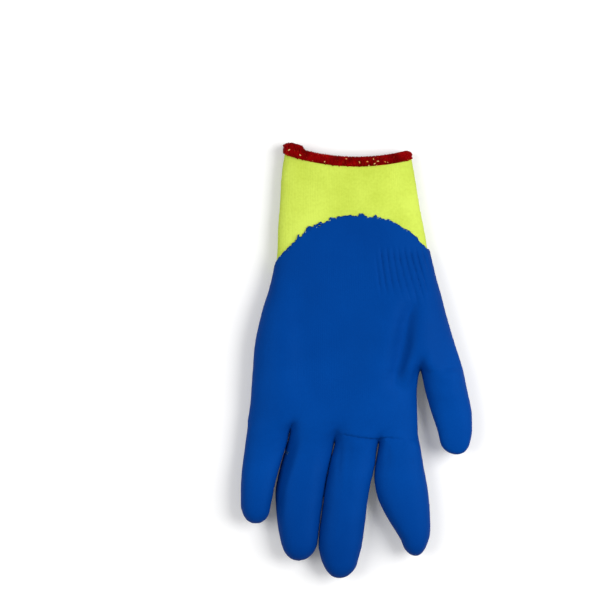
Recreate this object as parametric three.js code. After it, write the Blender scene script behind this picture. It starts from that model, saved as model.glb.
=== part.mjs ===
// A dipped knit work glove for the left hand, lying on its back with the palm up.
// It is a seamless knitted liner, the rubber coat on its palm and fingertips, the overlock
// stitching round the cuff's edge, and a label that hangs from that edge on the back.
// X runs towards the thumb, Y towards the cuff, and Z up, out of the palm. Sizes are in millimetres.
import * as THREE from 'three';

// Lengths along the hand
const HAND_LENGTH = 165.5; // cuff's edge to the crotch between the ring and middle fingers
const THUMB_CROTCH = 38; // the thumb's crotch, above the knuckle line
const LITTLE_LENGTH = 57;
const RING_LENGTH = 75.5;
const MIDDLE_LENGTH = 81.5;
const INDEX_LENGTH = 67;
const THUMB_LENGTH = 48;

// Widths of the liner as it lies
const CUFF_WIDTH = 71.5;
const WRIST_WIDTH = 88;
const THUMB_SPAN = 119; // across the palm and the thumb's base, at the thumb's crotch
const PALM_SHARE = 0.807; // of that span, the palm's own part
const CROTCH_WIDTH = PALM_SHARE * THUMB_SPAN;
const PALM_WIDTH = 96; // across the roots of the four fingers

// Thicknesses of the hollow form
const CUFF_THICKNESS = 14;
const PALM_THICKNESS = 23;
const FINGER_THICKNESS = 15.5;
const TIP_LIFT = 3.4; // how far the fingers curl up from the surface, at their tips
const SETTLE = 0.5; // how far the soft back flattens where it rests
const CUFF_SAG = 5.5; // the cuff's edge hangs this far lower in its middle than at its corners
const CUFF_TILT = 1.5; // and its corners lie this far above and below their level

// Walls
const KNIT_WALL = 1.4;
const DIP_WALL = 1.0;
const CLEARANCE = 0.3; // between one piece and the next
const FINGER_SPACE = 0.8; // between the coats of neighbouring fingers
const DIP_OUT = CLEARANCE + DIP_WALL;
const HALF_GAP = DIP_OUT + FINGER_SPACE / 2;

// Edge of the coat: half an ellipse over the wrist, then a line along the back of each side
const ARC_TOP = 128; // above the knuckle line
const ARC_DEPTH = 46.5; // from the ellipse's top to its middle
const ARC_HALF_WIDTH = 49.5;
const ARC_MIDDLE = 6.5; // the ellipse's middle towards the thumb
const SIDE_WRAP = 8.5; // how far the coat reaches round onto the back, on the little finger's side

// Edging and label
const EDGE_HEIGHT = 5.2;
const THREAD = 0.7;
const LABEL_WIDTH = 31;
const LABEL_LENGTH = 37;
const LABEL_THICKNESS = 0.6;
const CUFF_LIFT = SETTLE + 2 * CLEARANCE + Math.max(THREAD, LABEL_THICKNESS); // what lies under the cuff fits

// The hand from the cuff's edge to the thumb's crotch. at is a share of HAND_LENGTH, width and
// shift are shares of the width in of, thick is a share of PALM_THICKNESS or, in the cuff,
// CUFF_THICKNESS, and lift a share of CUFF_LIFT.
const HAND_ROWS = [
  { at: 0.0, of: CUFF_WIDTH, width: 1.0, shift: 0.024, deep: CUFF_THICKNESS, thick: 0.92, lift: 1.0 },
  { at: 0.07, of: CUFF_WIDTH, width: 1.067, shift: 0.026, deep: CUFF_THICKNESS, thick: 1.0, lift: 1.0 },
  { at: 0.18, of: WRIST_WIDTH, width: 0.912, shift: 0.028, deep: CUFF_THICKNESS, thick: 1.03, lift: 1.0 },
  { at: 0.28, of: WRIST_WIDTH, width: 0.963, shift: 0.039, deep: CUFF_THICKNESS, thick: 1.12, lift: 0.92 },
  { at: 0.39, of: WRIST_WIDTH, width: 1.006, shift: 0.052, deep: PALM_THICKNESS, thick: 0.8, lift: 0.4 },
  { at: 0.46, of: THUMB_SPAN, width: 0.783, shift: 0.044, deep: PALM_THICKNESS, thick: 0.9, lift: 0.0 },
  { at: 0.53, of: THUMB_SPAN, width: 0.837, shift: 0.042, deep: PALM_THICKNESS, thick: 0.99, lift: 0.0 },
  { at: 0.6, of: THUMB_SPAN, width: 0.892, shift: 0.041, deep: PALM_THICKNESS, thick: 1.02, lift: 0.0 },
  { at: 0.69, of: THUMB_SPAN, width: 0.955, shift: 0.049, deep: PALM_THICKNESS, thick: 1.02, lift: 0.0 },
  { at: 0.77, of: THUMB_SPAN, width: 1.0, shift: 0.062, deep: PALM_THICKNESS, thick: 1.0, lift: 0.0 },
];

// How far the coat wraps round the hand's two sides, as shares of SIDE_WRAP, at shares of
// HAND_LENGTH: left is the little finger's side, right the thumb's.
const WRAP_ROWS = [
  { at: 0.0, left: 0.3, right: 0.3 },
  { at: 0.38, left: 0.35, right: 0.35 },
  { at: 0.5, left: 0.85, right: 0.5 },
  { at: 0.77, left: 1.15, right: 0.5 },
  { at: 1.0, left: 0.8, right: 0.4 },
];

// The palm below the thumb's crotch. down is a share of the way from there to the knuckle line,
// left and right are shares of the palm's width, which goes from CROTCH_WIDTH to PALM_WIDTH, and
// thick is a share of PALM_THICKNESS.
const PALM_ROWS = [
  { down: 0.0, left: -0.544, right: 0.43, thick: 1.0 },
  { down: 0.3, left: -0.55, right: 0.418, thick: 0.98 },
  { down: 0.65, left: -0.557, right: 0.422, thick: 0.94 },
  { down: 1.0, left: -0.575, right: 0.429, thick: 0.88 },
];

// Where each finger's column ends across the palm, as shares of PALM_WIDTH, with how far below
// the knuckle line that crotch lies, as a share of PALM_WIDTH too
const KNUCKLES = [
  { x: -0.572, drop: -0.075 },
  { x: -0.317, drop: -0.073 },
  { x: -0.057, drop: -0.014 },
  { x: 0.206, drop: 0.012 },
  { x: 0.427, drop: 0.02 },
];
// The same ends at the thumb's crotch, with the thumb's own far side, as shares of CROTCH_WIDTH
const THUMB_LINE = [-0.5, -0.3, -0.052, 0.193, 0.452, 0.655];

// Lines that part neighbouring fingers: down as a share of MIDDLE_LENGTH, and where each line
// runs as a share of PALM_WIDTH
const PARTINGS = [
  { down: -0.1, lines: [-0.312, -0.05, 0.208] },
  { down: 0.0, lines: [-0.333, -0.057, 0.204] },
  { down: 0.15, lines: [-0.373, -0.084, 0.189] },
  { down: 0.34, lines: [-0.417, -0.117, 0.167] },
  { down: 0.53, lines: [-0.443, -0.14, 0.177] },
  { down: 0.76, lines: [-0.458, -0.165, 0.208] },
  { down: 1.0, lines: [-0.469, -0.182, 0.25] },
];

// Each digit: at is a share of its length, middle and width are shares of the width in of, thick a
// share of FINGER_THICKNESS, lift a share of TIP_LIFT. The last row is where its round end starts.
// The coat wraps left and right, as shares of SIDE_WRAP, from the root to the tip, and cover, a
// share of the digit's length, is how much of its back the coat hides at the tip.
const DIGITS = {
  little: {
    length: LITTLE_LENGTH,
    of: PALM_WIDTH,
    cover: 0.2,
    wrap: { left: [0.7, 1.0], right: [0.2, 0.3] },
    rows: [
      { at: 0.0, middle: -0.444, width: 0.25, thick: 1.08, lift: 0.0 },
      { at: 0.24, middle: -0.478, width: 0.224, thick: 0.93, lift: 0.18 },
      { at: 0.44, middle: -0.504, width: 0.202, thick: 0.9, lift: 0.33 },
      { at: 0.68, middle: -0.527, width: 0.174, thick: 0.86, lift: 0.64 },
      { at: 0.85, middle: -0.538, width: 0.152, thick: 0.76, lift: 1.0 },
    ],
  },
  ring: {
    length: RING_LENGTH,
    of: PALM_WIDTH,
    cover: 0.28,
    wrap: { left: [0.25, 0.9], right: [0.15, 0.2] },
    rows: [
      { at: 0.0, middle: -0.19, width: 0.26, thick: 1.12, lift: 0.0 },
      { at: 0.22, middle: -0.229, width: 0.265, thick: 1.0, lift: 0.18 },
      { at: 0.42, middle: -0.266, width: 0.276, thick: 0.98, lift: 0.29 },
      { at: 0.61, middle: -0.278, width: 0.255, thick: 0.97, lift: 0.44 },
      { at: 0.79, middle: -0.279, width: 0.22, thick: 0.9, lift: 0.76 },
      { at: 0.86, middle: -0.277, width: 0.198, thick: 0.83, lift: 0.94 },
    ],
  },
  middle: {
    length: MIDDLE_LENGTH,
    of: PALM_WIDTH,
    cover: 0.4,
    wrap: { left: [0.2, 0.7], right: [0.15, 0.3] },
    rows: [
      { at: 0.0, middle: 0.073, width: 0.25, thick: 1.14, lift: 0.0 },
      { at: 0.16, middle: 0.052, width: 0.25, thick: 1.02, lift: 0.18 },
      { at: 0.39, middle: 0.012, width: 0.24, thick: 1.0, lift: 0.27 },
      { at: 0.52, middle: -0.004, width: 0.242, thick: 0.99, lift: 0.36 },
      { at: 0.68, middle: -0.022, width: 0.244, thick: 0.96, lift: 0.56 },
      { at: 0.82, middle: -0.031, width: 0.222, thick: 0.88, lift: 0.83 },
      { at: 0.88, middle: -0.035, width: 0.197, thick: 0.81, lift: 1.0 },
    ],
  },
  index: {
    length: INDEX_LENGTH,
    of: PALM_WIDTH,
    cover: 0.4,
    wrap: { left: [0.2, 0.5], right: [0.35, 0.6] },
    rows: [
      { at: 0.0, middle: 0.316, width: 0.23, thick: 1.14, lift: 0.0 },
      { at: 0.19, middle: 0.325, width: 0.254, thick: 1.02, lift: 0.18 },
      { at: 0.37, middle: 0.332, width: 0.286, thick: 0.98, lift: 0.27 },
      { at: 0.54, middle: 0.353, width: 0.277, thick: 0.97, lift: 0.42 },
      { at: 0.71, middle: 0.39, width: 0.219, thick: 0.92, lift: 0.69 },
      { at: 0.8, middle: 0.407, width: 0.182, thick: 0.86, lift: 0.89 },
      { at: 0.88, middle: 0.42, width: 0.141, thick: 0.78, lift: 1.06 },
    ],
  },
  thumb: {
    length: THUMB_LENGTH,
    of: CROTCH_WIDTH,
    cover: 0.4,
    wrap: { left: [0.25, 0.5], right: [0.5, 0.6] },
    rows: [
      { at: 0.0, middle: 0.575, width: 0.24, thick: 1.2, lift: 0.0 },
      { at: 0.26, middle: 0.609, width: 0.226, thick: 1.1, lift: 0.22 },
      { at: 0.5, middle: 0.637, width: 0.217, thick: 1.04, lift: 0.44 },
      { at: 0.74, middle: 0.659, width: 0.181, thick: 0.94, lift: 0.83 },
      { at: 0.84, middle: 0.662, width: 0.165, thick: 0.86, lift: 1.06 },
    ],
  },
};

// Swellings and hollows of the palm side: x as a share of PALM_WIDTH, y of HAND_LENGTH, and wide,
// long and rise as shares of PALM_THICKNESS. They are the hollow of the palm, the mounds at the
// thumb's base and opposite it, and the pads under the fingers.
const PALM_FORMS = [
  { x: -0.08, y: 0.31, wide: 1.0, long: 1.7, rise: -0.16 },
  { x: 0.4, y: 0.37, wide: 0.75, long: 1.4, rise: 0.13 },
  { x: -0.4, y: 0.35, wide: 0.6, long: 1.6, rise: 0.06 },
  { x: -0.05, y: 0.05, wide: 1.9, long: 0.5, rise: 0.05 },
];

// The crease round the thumb's mound, a row for each point it runs through: x as a share of
// PALM_WIDTH, y of HAND_LENGTH, and depth as a share of PALM_THICKNESS
const THUMB_CREASE = [
  { x: 0.44, y: 0.47, depth: 0.03 },
  { x: 0.38, y: 0.38, depth: 0.1 },
  { x: 0.34, y: 0.27, depth: 0.12 },
  { x: 0.35, y: 0.17, depth: 0.05 },
];
const CREASE_WIDTH = 0.3; // a share of PALM_THICKNESS

// Where the surface is cut into rings. The first two lists are shares of HAND_LENGTH and of
// THUMB_CROTCH, the third is shares of a digit's length, and the last is degrees round its end.
const HAND_STATIONS = [0.1, 0.19, 0.28, 0.36, 0.43, 0.5, 0.57, 0.64, 0.71];
const PALM_STATIONS = [0.28, 0.55, 0.8, 1];
const DIGIT_STATIONS = [0.05, 0.19, 0.35, 0.5, 0.64, 0.77];
const END_ANGLES = [32, 56, 76];

// Shape of a cross-section: roundness of its palm side and of its flatter back, the share of its
// width that the columns of its front and back take, and how round a digit's end is
const FRONT_POWER = 2.4;
const BACK_POWER = 3;
const SHOULDER = 0.85; // the palm's forms have their full rise above this share of the thickness
const HAND_REACH = 0.93;
const DIGIT_REACH = 0.8;
const END_POWER = 0.85;
const SLANT_END = 0.3; // a digit's first rings slant as its root does, up to this share of its length
const SAG_END = 0.4; // the sag of the cuff's edge dies away at this share of HAND_LENGTH
const COLUMN_SHARES = [0, 0.25, 0.5, 0.75]; // where the columns of a digit start across it
const COLUMNS = COLUMN_SHARES.length;
const LABEL_STEPS = [0, 0.25, 0.5, 0.75, 1]; // rows and columns of the label, as shares of its sides
const EDGE_SNAP = 0.35; // the coat's edge keeps this far from the face's own points
const SIDE_SHARES = [1 / 3, 2 / 3]; // where the points down each side lie
const WEB_TOP = 0.72; // a crotch's web reaches from this share of the thickness
const WEB_FOOT = 0.3; // down to this one

const FINGERS = ['little', 'ring', 'middle', 'index'];
const DIGIT_COUNT = FINGERS.length + 1;

const { lerp, smoothstep, clamp, degToRad } = THREE.MathUtils;

// The value of a column at a place between rows, on a smooth curve through them.
function along(rows, key, column, at) {
  const last = rows.length - 1;
  let i = 0;
  while (i < last - 1 && at > rows[i + 1][key]) i += 1;
  const [low, high] = [rows[i], rows[i + 1]];
  const span = high[key] - low[key];
  const slope = (a, b) => ((column(b) - column(a)) / (b[key] - a[key])) * span;
  const startSlope = slope(rows[Math.max(i - 1, 0)], high);
  const endSlope = slope(low, rows[Math.min(i + 2, last)]);
  const t = clamp((at - low[key]) / span, 0, 1);
  const ease = t * t * (3 - 2 * t);
  const bend = t * (1 - t) * (startSlope * (1 - t) - endSlope * t);
  return lerp(column(low), column(high), ease) + bend;
}

// Height of a section's outline above or below its middle, at a share t of its half width.
const bulge = (t, power) => Math.pow(Math.max(1 - Math.pow(Math.abs(t), power), 0), 1 / power);

// A point of a section: across is -1 to 1, and front says which side of the section it is on.
function sectionPoint({ left, right, y, thick, lift }, across, front) {
  const middle = (left + right) / 2;
  const half = (right - left) / 2;
  const height = bulge(across, front ? FRONT_POWER : BACK_POWER) * (thick / 2);
  return new THREE.Vector3(middle + across * half, y, lift + thick / 2 + (front ? height : -height));
}

// How far across, and on which side, the points down a section's side lie, from front to back.
function sideSteps(reach) {
  const angleAt = (power) => Math.acos(Math.pow(reach, power / 2));
  const [top, foot] = [angleAt(FRONT_POWER), -angleAt(BACK_POWER)];
  return SIDE_SHARES.map((share) => {
    const angle = lerp(top, foot, share);
    const front = angle >= 0;
    return { across: Math.pow(Math.cos(angle), 2 / (front ? FRONT_POWER : BACK_POWER)), front };
  });
}

// Rise of the palm side at a place.
function palmRise(x, y) {
  let rise = 0;
  for (const form of PALM_FORMS) {
    const dx = (x - form.x * PALM_WIDTH) / (form.wide * PALM_THICKNESS);
    const dy = (y - form.y * HAND_LENGTH) / (form.long * PALM_THICKNESS);
    rise += form.rise * Math.exp(-dx * dx - dy * dy);
  }
  const rows = THUMB_CREASE.slice().reverse();
  const level = y / HAND_LENGTH;
  const creaseX = along(rows, 'y', (r) => r.x, level) * PALM_WIDTH;
  const beyond = Math.max(rows[0].y - level, level - rows[rows.length - 1].y, 0) * HAND_LENGTH;
  const away = Math.hypot(x - creaseX, beyond) / (CREASE_WIDTH * PALM_THICKNESS);
  rise -= along(rows, 'y', (r) => r.depth, level) * Math.exp(-away * away);
  return rise * PALM_THICKNESS;
}

// Adds the palm's forms to a point on the front, and flattens the back where it rests.
function settle(point, section) {
  const middle = section.lift + section.thick / 2;
  const shoulder = section.lift + section.thick * SHOULDER;
  if (point.z > middle) point.z += smoothstep(point.z, middle, shoulder) * palmRise(point.x, point.y);
  point.z = Math.max(point.z - SETTLE, 0);
  return point;
}

// The liner's outer face. Its points lie in rings from the cuff's edge to the fingertips, and
// neighbouring digits share the points of the web between them.
const points = []; // with front for those on the palm side
const quads = [];
const outline = []; // stretches of the hand's plan, each with the coat's wrap at its two ends

const addPoint = (position, front) => points.push(Object.assign(position, { front })) - 1;
const loopOf = ({ front, right, back, left }) => [
  ...front,
  ...right,
  ...back.toReversed(),
  ...left.toReversed(),
];

function bridge(above, below) {
  above.forEach((a, i) => {
    const j = (i + 1) % above.length;
    quads.push([a, below[i], below[j], above[j]]);
  });
}

// A ring of a section whose columns share out the stretches between the given places.
function addRing(section, places, drop = () => 0) {
  const half = (section.right - section.left) / 2;
  const middle = (section.right + section.left) / 2;
  const shares = places.map((x) => (x - middle) / half);
  const put = (across, front) => {
    const point = sectionPoint(section, across, front);
    point.y -= drop(across);
    return addPoint(settle(point, section), front);
  };
  const starts = shares.slice(1).flatMap((end, i) => COLUMN_SHARES.map((t) => lerp(shares[i], end, t)));
  const row = (front) => [...starts, shares.at(-1)].map((across) => put(across, front));
  const side = (sign, reach) => sideSteps(reach).map(({ across, front }) => put(sign * across, front));
  return { front: row(true), right: side(1, shares.at(-1)), back: row(false), left: side(-1, -shares[0]) };
}

// The points of a web, between a point on the front and the one behind it.
function addWeb(front, back) {
  const [top, foot] = [points[front], points[back]];
  const height = top.z - foot.z;
  top.z = foot.z + height * WEB_TOP;
  foot.z += height * WEB_FOOT;
  return SIDE_SHARES.map((share) => addPoint(top.clone().lerp(foot, share), true));
}

// Notes one side of the plan, with the coat's wrap at each of its points.
function addOutline(side) {
  side.slice(1).forEach((to, i) => outline.push([side[i], to]));
}
const outlinePoint = (x, y, wrap) => ({ place: new THREE.Vector2(x, y), wrap });

// A section of the hand, at a share of HAND_LENGTH from the cuff's edge.
function handSection(at) {
  const value = (column) => along(HAND_ROWS, 'at', column, at);
  const width = value((r) => r.of * r.width);
  const middle = value((r) => r.of * r.shift);
  return {
    left: middle - width / 2,
    right: middle + width / 2,
    y: HAND_LENGTH * (1 - at),
    thick: value((r) => r.deep * r.thick),
    lift: CUFF_LIFT * value((r) => r.lift),
  };
}
const cuffDrop = (at) => (across) =>
  (1 - smoothstep(at, 0, SAG_END)) * (CUFF_SAG * (1 - across * across) + CUFF_TILT * across);

// A section of the palm, at a share of the way from the thumb's crotch to the knuckle line.
function palmSection(down) {
  const value = (column) => along(PALM_ROWS, 'down', column, down);
  const width = lerp(CROTCH_WIDTH, PALM_WIDTH, down);
  return {
    left: value((r) => r.left) * width,
    right: value((r) => r.right) * width,
    y: THUMB_CROTCH * (1 - down),
    thick: value((r) => r.thick) * PALM_THICKNESS,
    lift: 0,
  };
}

// Cuff and upper hand, down to the thumb's crotch
const crotchAt = 1 - THUMB_CROTCH / HAND_LENGTH;
const handStations = [0, EDGE_HEIGHT / HAND_LENGTH, ...HAND_STATIONS, crotchAt];
const crotchSection = handSection(crotchAt);
const thumbPlaces = THUMB_LINE.map((share) => share * CROTCH_WIDTH);
const handRings = handStations.map((at) => {
  const section = handSection(at);
  const turn = smoothstep(at, HAND_STATIONS[0], crotchAt);
  const places = thumbPlaces.map((x, i) => {
    const share = (x - crotchSection.left) / (crotchSection.right - crotchSection.left);
    const even = 0.5 + HAND_REACH * (i / DIGIT_COUNT - 0.5);
    return lerp(section.left, section.right, lerp(even, share, turn));
  });
  return addRing(section, places, cuffDrop(at));
});
handRings.slice(1).forEach((ring, i) => bridge(loopOf(handRings[i]), loopOf(ring)));

// A section of a digit at a share of its length, kept clear of its neighbours.
function digitSection(name, rootY, limits, at) {
  const { length, of, rows } = DIGITS[name];
  const value = (column) => along(rows, 'at', column, at);
  const y = rootY - at * length;
  const middle = value((r) => r.middle) * of;
  const half = (value((r) => r.width) * of) / 2;
  const [leftLimit, rightLimit] = limits(y);
  return {
    left: Math.max(middle - half, leftLimit),
    right: Math.min(middle + half, rightLimit),
    y,
    thick: value((r) => r.thick) * FINGER_THICKNESS,
    lift: SETTLE + DIP_OUT + value((r) => r.lift) * TIP_LIFT,
  };
}

// A finger or the thumb, from the points that it shares with the hand to its round end.
function addDigit(name, root, [leftY, rightY], limits) {
  const { length, rows, cover, wrap } = DIGITS[name];
  const rootY = (leftY + rightY) / 2;
  const bareEnd = rows.at(-1).at;
  const base = digitSection(name, rootY, limits, bareEnd);
  const endMiddle = (base.left + base.right) / 2;
  const ends = END_ANGLES.map((degrees) => {
    const angle = degToRad(degrees);
    const shrink = Math.pow(Math.cos(angle), END_POWER);
    const half = ((base.right - base.left) / 2) * shrink;
    return {
      left: endMiddle - half,
      right: endMiddle + half,
      y: base.y - (1 - bareEnd) * length * Math.sin(angle),
      thick: base.thick * shrink,
      lift: base.lift + (base.thick * (1 - shrink)) / 2,
    };
  });
  const body = [...DIGIT_STATIONS.map((at) => digitSection(name, rootY, limits, at)), base];
  let above = loopOf(root);
  for (const section of [...body, ...ends]) {
    const middle = (section.left + section.right) / 2;
    const half = ((section.right - section.left) / 2) * DIGIT_REACH;
    const slant = ((leftY - rightY) / 2) * (1 - smoothstep(rootY - section.y, 0, SLANT_END * length));
    const below = loopOf(addRing(section, [middle - half, middle + half], (across) => slant * across));
    bridge(above, below);
    above = below;
  }
  const tipHeight = base.lift + base.thick / 2 - SETTLE;
  const tip = addPoint(new THREE.Vector3(endMiddle, rootY - length, tipHeight), true);
  above.forEach((a, i) => quads.push([a, tip, above[(i + 1) % above.length]]));

  const tipWrap = outlinePoint(endMiddle, rootY - length, cover * length);
  for (const side of ['left', 'right']) {
    const wrapAt = (y) => SIDE_WRAP * lerp(...wrap[side], (rootY - y) / length);
    const edge = body.map((section) => outlinePoint(section[side], section.y, wrapAt(section.y)));
    addOutline([...edge, tipWrap]);
  }
}

// The thumb leaves the last ring of the hand, and the palm goes on from it
const palmEdge = (y) => palmSection(clamp(1 - y / THUMB_CROTCH, 0, 1)).right;
const lastHandRing = handRings.at(-1);
const thumbFrom = FINGERS.length * COLUMNS;
const thumbWeb = addWeb(lastHandRing.front[thumbFrom], lastHandRing.back[thumbFrom]);
const thumbRoot = {
  front: lastHandRing.front.slice(thumbFrom),
  right: lastHandRing.right,
  back: lastHandRing.back.slice(thumbFrom),
  left: thumbWeb,
};
addDigit('thumb', thumbRoot, [THUMB_CROTCH, THUMB_CROTCH], (y) => [palmEdge(y) + 2 * HALF_GAP, Infinity]);

// Rings of the palm, whose columns run to the crotches between the fingers
function addPalmRing(down) {
  const section = palmSection(down);
  const inset = ((1 - HAND_REACH) * (section.right - section.left)) / 2;
  const places = KNUCKLES.map((knuckle, i) => lerp(thumbPlaces[i], knuckle.x * PALM_WIDTH, down));
  places[0] = section.left + inset;
  places[FINGERS.length] = section.right - inset;
  const middle = (section.left + section.right) / 2;
  const half = (section.right - section.left) / 2;
  const drops = KNUCKLES.map((knuckle, i) => ({
    across: (places[i] - middle) / half,
    drop: knuckle.drop * PALM_WIDTH * down,
  }));
  return addRing(section, places, (across) => along(drops, 'across', (d) => d.drop, across));
}
let palmRing = {
  front: lastHandRing.front.slice(0, thumbFrom + 1),
  right: thumbWeb,
  back: lastHandRing.back.slice(0, thumbFrom + 1),
  left: lastHandRing.left,
};
for (const down of PALM_STATIONS) {
  const next = addPalmRing(down);
  bridge(loopOf(palmRing), loopOf(next));
  palmRing = next;
}

// The fingers leave the last ring of the palm, each pair sharing a web
const fingerWebs = [1, 2, 3].map((i) => addWeb(palmRing.front[i * COLUMNS], palmRing.back[i * COLUMNS]));
const parting = (n, y) => along(PARTINGS, 'down', (r) => r.lines[n], -y / MIDDLE_LENGTH) * PALM_WIDTH;
FINGERS.forEach((name, i) => {
  const columns = [i * COLUMNS, (i + 1) * COLUMNS + 1];
  const last = FINGERS.length - 1;
  const root = {
    front: palmRing.front.slice(...columns),
    right: i < last ? fingerWebs[i] : palmRing.right,
    back: palmRing.back.slice(...columns),
    left: i > 0 ? fingerWebs[i - 1] : palmRing.left,
  };
  const rootEnds = [i, i + 1].map((n) => -KNUCKLES[n].drop * PALM_WIDTH);
  addDigit(name, root, rootEnds, (y) => [
    i > 0 ? parting(i - 1, y) + HALF_GAP : -Infinity,
    i < last ? parting(i, y) - HALF_GAP : Infinity,
  ]);
});

// The two long sides of the plan, for the coat's wrap
for (const side of ['left', 'right']) {
  const wrapAt = (y) => SIDE_WRAP * along(WRAP_ROWS, 'at', (r) => r[side], 1 - y / HAND_LENGTH);
  const sections = handStations.map(handSection);
  const palm = PALM_STATIONS.map(palmSection);
  const hand = (list) => addOutline(list.map((s) => outlinePoint(s[side], s.y, wrapAt(s.y))));
  hand(side === 'left' ? [...sections, ...palm] : sections);
  if (side === 'right') hand(palm);
}

// Triangles of the face, each quad split along its shorter diagonal
const faceTriangles = quads.flatMap(([a, b, c, d]) => {
  if (d === undefined) return [[a, b, c]];
  const shorter = points[a].distanceTo(points[c]) <= points[b].distanceTo(points[d]);
  return shorter ? [[a, b, c], [a, c, d]] : [[a, b, d], [b, c, d]];
});

// Outward direction at each point of the face: that of the triangles round it, by their angles there
const outward = points.map(() => new THREE.Vector3());
for (const corners of faceTriangles) {
  corners.forEach((i, k) => {
    const toNext = new THREE.Vector3().subVectors(points[corners[(k + 1) % 3]], points[i]);
    const toLast = new THREE.Vector3().subVectors(points[corners[(k + 2) % 3]], points[i]);
    const normal = new THREE.Vector3().crossVectors(toNext, toLast).normalize();
    outward[i].addScaledVector(normal, toNext.angleTo(toLast));
  });
}
outward.forEach((direction) => direction.normalize());
const grown = (i, by) => new THREE.Vector3().copy(points[i]).addScaledVector(outward[i], by);

function geometryOf(corners, triangles) {
  const geometry = new THREE.BufferGeometry();
  const position = corners.flatMap((corner) => corner.toArray());
  geometry.setAttribute('position', new THREE.Float32BufferAttribute(position, 3));
  geometry.setIndex(triangles.flat());
  geometry.computeVertexNormals();
  return geometry;
}

// A wall between the outer and the inner place of each corner of an open face.
function wallGeometry(outer, inner, triangles) {
  const count = outer.length;
  const open = new Map();
  for (const [a, b, c] of triangles) {
    for (const [from, to] of [[a, b], [b, c], [c, a]]) {
      if (!open.delete(`${to} ${from}`)) open.set(`${from} ${to}`, [from, to]);
    }
  }
  const faces = triangles.flatMap(([a, b, c]) => [[a, b, c], [a + count, c + count, b + count]]);
  const rim = [...open.values()].flatMap(([a, b]) => [[b, a, a + count], [b, a + count, b + count]]);
  return geometryOf([...outer, ...inner], [...faces, ...rim]);
}

function linerGeometry() {
  const outer = points.map((_, i) => grown(i, 0));
  const inner = points.map((_, i) => grown(i, -KNIT_WALL));
  return wallGeometry(outer, inner, faceTriangles);
}

// How far below the arc over the wrist a place of the plan lies.
function underArc({ x, y }) {
  const u = (x - ARC_MIDDLE) / ARC_HALF_WIDTH;
  const v = (y - ARC_TOP) / ARC_DEPTH + 1;
  return Math.max((1 - Math.hypot(u, Math.max(v, 0))) * ARC_DEPTH, -v * ARC_DEPTH);
}

// How far inside the coat's edge a point of the face lies; less than zero is bare knit. The coat
// wraps onto the back only from those places of the plan's outline that are under the arc.
function coatDepth(point) {
  if (point.front) return underArc(point);
  const place = new THREE.Vector2(point.x, point.y);
  const wrapped = outline.map(([from, to]) => {
    const line = to.place.clone().sub(from.place);
    const share = clamp(place.clone().sub(from.place).dot(line) / line.lengthSq(), 0, 1);
    const nearest = from.place.clone().addScaledVector(line, share);
    const within = lerp(from.wrap, to.wrap, share) - nearest.distanceTo(place);
    return Math.min(within, underArc(nearest));
  });
  return Math.max(...wrapped);
}

// The coat: the part of the face inside its edge, grown into a wall outside the liner.
function coatGeometry() {
  const depths = points.map((point) => {
    const depth = coatDepth(point);
    return Math.abs(depth) < EDGE_SNAP ? EDGE_SNAP * (depth < 0 ? -1 : 1) : depth;
  });
  const corners = [];
  const known = new Map();
  const corner = (a, b) => {
    const [low, high] = [Math.min(a, b), Math.max(a, b)];
    const key = `${low} ${high}`;
    if (!known.has(key)) {
      const share = low === high ? 0 : depths[low] / (depths[low] - depths[high]);
      known.set(key, corners.push({ low, high, share }) - 1);
    }
    return known.get(key);
  };
  const triangles = [];
  for (const triangle of faceTriangles) {
    const kept = triangle.flatMap((a, i) => {
      const b = triangle[(i + 1) % triangle.length];
      const here = depths[a] > 0 ? [corner(a, a)] : [];
      return depths[a] > 0 === depths[b] > 0 ? here : [...here, corner(a, b)];
    });
    for (let i = 2; i < kept.length; i += 1) triangles.push([kept[0], kept[i - 1], kept[i]]);
  }
  const placed = (by) => corners.map(({ low, high, share }) => grown(low, by).lerp(grown(high, by), share));
  return wallGeometry(placed(DIP_OUT), placed(CLEARANCE), triangles);
}

// The edging: a channel of thread that holds the cuff's edge, outside, over the top and inside.
function edgingGeometry() {
  const [rim, hem] = [loopOf(handRings[0]), loopOf(handRings[1])];
  const inside = -KNIT_WALL - CLEARANCE;
  const outside = CLEARANCE;
  const profile = [
    { ring: hem, out: outside + THREAD, up: 0 },
    { ring: rim, out: outside + THREAD, up: 0 },
    { ring: rim, out: outside, up: CLEARANCE + THREAD },
    { ring: rim, out: inside, up: CLEARANCE + THREAD },
    { ring: rim, out: inside - THREAD, up: 0 },
    { ring: hem, out: inside - THREAD, up: 0 },
    { ring: hem, out: inside, up: 0 },
    { ring: rim, out: inside, up: CLEARANCE },
    { ring: rim, out: outside, up: CLEARANCE },
    { ring: hem, out: outside, up: 0 },
  ];
  const corners = rim.flatMap((_, i) => {
    const up = new THREE.Vector3().subVectors(points[rim[i]], points[hem[i]]).normalize();
    return profile.map((p) => grown(p.ring[i], p.out).addScaledVector(up, p.up));
  });
  const size = profile.length;
  const triangles = rim.flatMap((_, i) => {
    const next = (i + 1) % rim.length;
    return profile.flatMap((_, k) => {
      const [a, b] = [i * size + k, i * size + ((k + 1) % size)];
      const [c, d] = [next * size + ((k + 1) % size), next * size + k];
      return [[a, d, c], [a, c, b]];
    });
  });
  return geometryOf(corners, triangles);
}

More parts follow.
